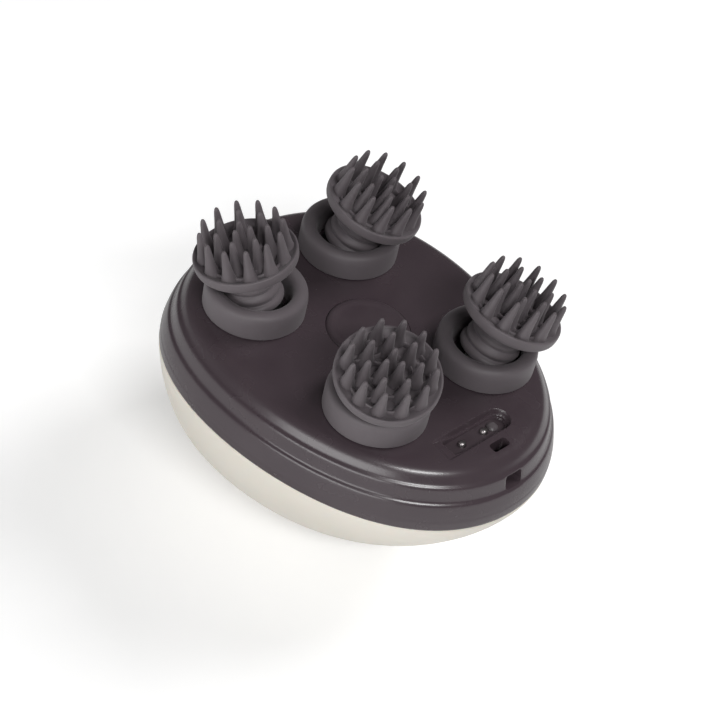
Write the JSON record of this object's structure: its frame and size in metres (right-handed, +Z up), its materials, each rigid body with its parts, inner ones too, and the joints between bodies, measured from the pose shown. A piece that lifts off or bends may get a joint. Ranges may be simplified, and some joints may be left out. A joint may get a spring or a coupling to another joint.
{
  "type": "electric scalp massager",
  "caption": "Palm-held electric scalp massager: an oval geared body with leaning, turning silicone heads of conical prongs, magnetic charging recess and a lanyard eye.",
  "frame": {"origin": "centre of the bounding box at the flat ring that the massager stands on", "axes": "+Z up through the head plate, +X along the body towards the charging recess and lanyard eye, +Y across the body; the outline is the same on both sides of the XZ plane"},
  "size_m": [0.12, 0.098, 0.0929],
  "materials": {
    "shell_plastic": "satin purplish grey-brown",
    "button_plastic": "satin purplish grey-brown",
    "dome_plastic": "satin ivory",
    "soft_silicone": "matt silicone, dark grey",
    "seal_rubber": "matt black",
    "bronze": "turned, oiled",
    "bush_black": "moulded acetal",
    "white_nylon": "moulded nylon, greased",
    "hub_plastic": "moulded",
    "blue_nylon": "moulded nylon",
    "red_nylon": "moulded nylon",
    "steel": "ground",
    "motor_can": "zinc plated",
    "deck_plastic": "moulded",
    "cell_wrap": "shrink wrap",
    "board_green": "solder mask",
    "switch_black": "moulded",
    "insert_black": "moulded",
    "contact_gold": "plated",
    "stud_black": "polished"
  },
  "bodies": {
    "casing": {"upper_shell": "shell_plastic", "lower_shell": "dome_plastic", "shell_seal": "seal_rubber", "centre_cap": "shell_plastic", "collar_1": "soft_silicone", "collar_2": "soft_silicone", "collar_3": "soft_silicone", "collar_4": "soft_silicone", "head_bush_1": "bush_black", "head_bush_2": "bush_black", "head_bush_3": "bush_black", "head_bush_4": "bush_black", "drive_axle": "steel", "second_axle": "steel", "first_axle": "steel", "motor_body": "motor_can", "motor_screws": "steel", "gear_deck": "deck_plastic", "deck_screws": "steel", "battery_cell": "cell_wrap", "battery_cradle": "deck_plastic", "cradle_screws": "steel", "circuit_board": "board_green", "board_screws": "steel", "power_switch": "switch_black", "charging_insert": "insert_black", "charging_contacts": "contact_gold", "charging_stud": "stud_black"},
    "head_1": {"output_gear_1": "white_nylon", "head_hub_1": "hub_plastic", "neck_boot_1": "soft_silicone", "scalp_head_1": "soft_silicone"},
    "head_2": {"output_gear_2": "white_nylon", "head_hub_2": "hub_plastic", "neck_boot_2": "soft_silicone", "scalp_head_2": "soft_silicone"},
    "head_3": {"output_gear_3": "white_nylon", "head_hub_3": "hub_plastic", "neck_boot_3": "soft_silicone", "scalp_head_3": "soft_silicone"},
    "head_4": {"output_gear_4": "white_nylon", "head_hub_4": "hub_plastic", "neck_boot_4": "soft_silicone", "scalp_head_4": "soft_silicone"},
    "drive": {"drive_gear": "white_nylon"},
    "second_stage": {"second_gear": "blue_nylon"},
    "first_stage": {"first_gear": "red_nylon"},
    "rotor": {"motor_shaft": "steel", "motor_pinion": "bronze"},
    "button": {"power_button": "button_plastic"}
  },
  "joints": [
    {"name": "drive_spin", "type": "hinge", "parent": "casing", "child": "drive", "pos_m": [-0.003, 0.0012, 0.045], "axis": [0, 0, 1], "continuous": true},
    {"name": "head_1_spin", "type": "hinge", "parent": "casing", "child": "head_1", "pos_m": [-0.02658, -0.02117, 0.045], "axis": [0, 0, 1], "continuous": true},
    {"name": "head_2_spin", "type": "hinge", "parent": "casing", "child": "head_2", "pos_m": [-0.03071, 0.01818, 0.045], "axis": [0, 0, 1], "continuous": true},
    {"name": "head_3_spin", "type": "hinge", "parent": "casing", "child": "head_3", "pos_m": [0.02171, -0.01991, 0.045], "axis": [0, 0, 1], "continuous": true},
    {"name": "head_4_spin", "type": "hinge", "parent": "casing", "child": "head_4", "pos_m": [0.02378, 0.01961, 0.045], "axis": [0, 0, 1], "continuous": true},
    {"name": "second_spin", "type": "hinge", "parent": "casing", "child": "second_stage", "pos_m": [-0.003, 0.0272, 0.045], "axis": [0, 0, 1], "continuous": true},
    {"name": "first_spin", "type": "hinge", "parent": "casing", "child": "first_stage", "pos_m": [0.00883, 0.01311, 0.045], "axis": [0, 0, 1], "continuous": true},
    {"name": "motor_spin", "type": "hinge", "parent": "casing", "child": "rotor", "pos_m": [0.00883, -0.00189, 0.045], "axis": [0, 0, 1], "continuous": true},
    {"name": "power_press", "type": "slide", "parent": "casing", "child": "button", "axis": [0, 0, 1], "range_m": [0, 0.0006], "stiffness_N_per_m": 900}
  ],
  "couplings": [
    {"joint": "head_1_spin", "follows": "drive_spin", "ratio": -1.6},
    {"joint": "head_2_spin", "follows": "drive_spin", "ratio": -1.6},
    {"joint": "head_3_spin", "follows": "drive_spin", "ratio": -1.6},
    {"joint": "head_4_spin", "follows": "drive_spin", "ratio": -1.6},
    {"joint": "second_spin", "follows": "drive_spin", "ratio": -3.3333},
    {"joint": "first_spin", "follows": "drive_spin", "ratio": 9.4444},
    {"joint": "motor_spin", "follows": "drive_spin", "ratio": -29.907}
  ]
}
